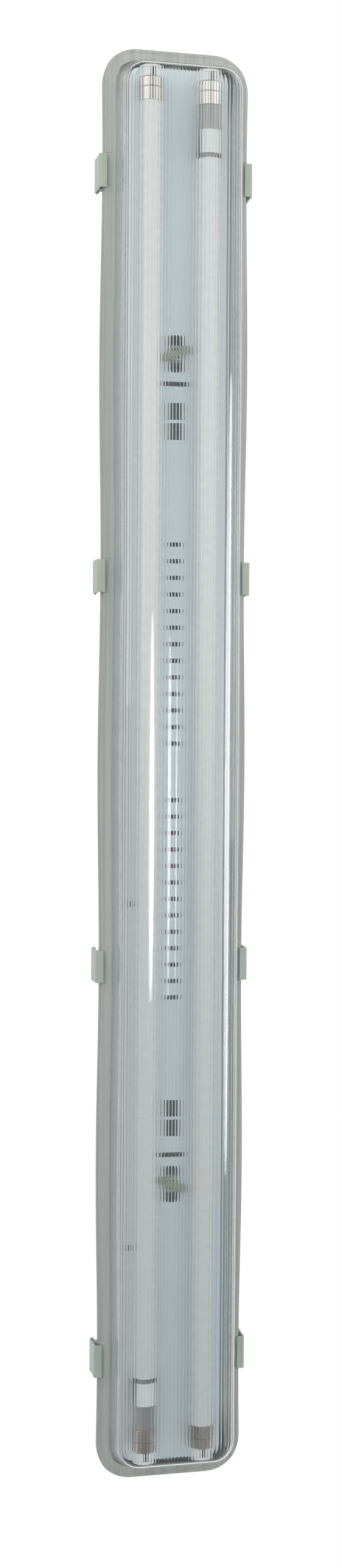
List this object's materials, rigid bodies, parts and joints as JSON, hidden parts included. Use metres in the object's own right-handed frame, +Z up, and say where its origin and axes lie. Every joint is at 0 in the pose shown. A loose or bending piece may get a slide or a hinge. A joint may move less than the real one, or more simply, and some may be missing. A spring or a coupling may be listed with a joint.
{
  "type": "weatherproof twin-tube batten light",
  "caption": "Long sealed ceiling light: a shallow housing, a clear clipped-on diffuser, and LED tubes in lampholders on a white tray, hung from steel brackets.",
  "frame": {"origin": "centre of the ceiling plane that both suspension brackets bear on", "axes": "+X along the lamp towards the cable entry, +Y across it, +Z up into the ceiling"},
  "size_m": [1.58, 0.175, 0.1051],
  "materials": {
    "housing_plastic": "fine satin moulding",
    "clip_plastic": "semi-gloss moulding",
    "gasket_foam": "foamed sealing bead",
    "clear_lens": "clear, ribbed inside",
    "tray_paint": "white gloss enamel",
    "tube_glass": "milky, clear at the driver end",
    "cap_aluminium": "drawn, satin",
    "pin_brass": "plated",
    "holder_white": "semi-gloss moulding",
    "rotor_dark": "matt",
    "led_board": "white solder mask",
    "driver_board": "printed board and its parts",
    "label_paper": "plain paper",
    "lock_plastic": "matt moulding",
    "bracket_steel": "stainless strip",
    "grommet_rubber": "soft rubber",
    "terminal_plastic": "matt moulding",
    "screw_steel": "zinc plated",
    "wire_brown": "wire insulation",
    "wire_blue": "wire insulation",
    "wire_green": "wire insulation, green and yellow"
  },
  "bodies": {
    "root": {"blanking_plug": "grommet_rubber", "bracket_a": "bracket_steel", "bracket_b": "bracket_steel", "cable_grommet": "grommet_rubber", "diffuser": "clear_lens", "earth_screw": "screw_steel", "gasket": "gasket_foam", "gear_tray": "tray_paint", "housing": "housing_plastic", "lampholder_left_a": "holder_white", "lampholder_left_b": "holder_white", "lampholder_right_a": "holder_white", "lampholder_right_b": "holder_white", "terminal_block": "terminal_plastic", "terminal_screws": "screw_steel", "tray_rail_left": "tray_paint", "tray_rail_right": "tray_paint", "wire_clips": "terminal_plastic", "wire_earth": "wire_green", "wire_live": "wire_brown", "wire_neutral": "wire_blue"},
    "clip_left_1": {"clip_left_1": "clip_plastic"},
    "clip_left_2": {"clip_left_2": "clip_plastic"},
    "clip_left_3": {"clip_left_3": "clip_plastic"},
    "clip_left_4": {"clip_left_4": "clip_plastic"},
    "tube_left": {"driver_left": "driver_board", "led_strip_left": "led_board", "rotor_left_a": "rotor_dark", "rotor_left_b": "rotor_dark", "tube_cap_left_a": "cap_aluminium", "tube_cap_left_b": "cap_aluminium", "tube_label_left": "label_paper", "tube_left": "tube_glass", "tube_pins_left": "pin_brass"},
    "clip_right_1": {"clip_right_1": "clip_plastic"},
    "clip_right_2": {"clip_right_2": "clip_plastic"},
    "clip_right_3": {"clip_right_3": "clip_plastic"},
    "clip_right_4": {"clip_right_4": "clip_plastic"},
    "tube_right": {"driver_right": "driver_board", "led_strip_right": "led_board", "rotor_right_a": "rotor_dark", "rotor_right_b": "rotor_dark", "tube_cap_right_a": "cap_aluminium", "tube_cap_right_b": "cap_aluminium", "tube_label_right": "label_paper", "tube_pins_right": "pin_brass", "tube_right": "tube_glass"},
    "twist_lock_1": {"twist_lock_1": "lock_plastic"},
    "twist_lock_2": {"twist_lock_2": "lock_plastic"}
  },
  "joints": [
    {"name": "clip_left_1_swing", "type": "hinge", "parent": "root", "child": "clip_left_1", "pos_m": [0.655, -0.0843, -0.033], "axis": [-1, 0, 0], "range_deg": [0, 95]},
    {"name": "clip_left_2_swing", "type": "hinge", "parent": "root", "child": "clip_left_2", "pos_m": [0.215, -0.0843, -0.033], "axis": [-1, 0, 0], "range_deg": [0, 95]},
    {"name": "clip_left_3_swing", "type": "hinge", "parent": "root", "child": "clip_left_3", "pos_m": [-0.215, -0.0843, -0.033], "axis": [-1, 0, 0], "range_deg": [0, 95]},
    {"name": "clip_left_4_swing", "type": "hinge", "parent": "root", "child": "clip_left_4", "pos_m": [-0.655, -0.0843, -0.033], "axis": [-1, 0, 0], "range_deg": [0, 95]},
    {"name": "clip_right_1_swing", "type": "hinge", "parent": "root", "child": "clip_right_1", "pos_m": [0.655, 0.0843, -0.033], "axis": [1, 0, 0], "range_deg": [0, 95]},
    {"name": "clip_right_2_swing", "type": "hinge", "parent": "root", "child": "clip_right_2", "pos_m": [0.215, 0.0843, -0.033], "axis": [1, 0, 0], "range_deg": [0, 95]},
    {"name": "clip_right_3_swing", "type": "hinge", "parent": "root", "child": "clip_right_3", "pos_m": [-0.215, 0.0843, -0.033], "axis": [1, 0, 0], "range_deg": [0, 95]},
    {"name": "clip_right_4_swing", "type": "hinge", "parent": "root", "child": "clip_right_4", "pos_m": [-0.655, 0.0843, -0.033], "axis": [1, 0, 0], "range_deg": [0, 95]},
    {"name": "tube_left_turn", "type": "hinge", "parent": "root", "child": "tube_left", "pos_m": [0, -0.0325, -0.075], "axis": [1, 0, 0], "range_deg": [0, 90]},
    {"name": "tube_right_turn", "type": "hinge", "parent": "root", "child": "tube_right", "pos_m": [0, 0.0325, -0.075], "axis": [1, 0, 0], "range_deg": [0, 90]},
    {"name": "twist_lock_1_turn", "type": "hinge", "parent": "root", "child": "twist_lock_1", "pos_m": [0.46, 0, -0.0583], "axis": [0, 0, -1], "range_deg": [-22, 68]},
    {"name": "twist_lock_2_turn", "type": "hinge", "parent": "root", "child": "twist_lock_2", "pos_m": [-0.46, 0, -0.0583], "axis": [0, 0, 1], "range_deg": [-22, 68]}
  ]
}
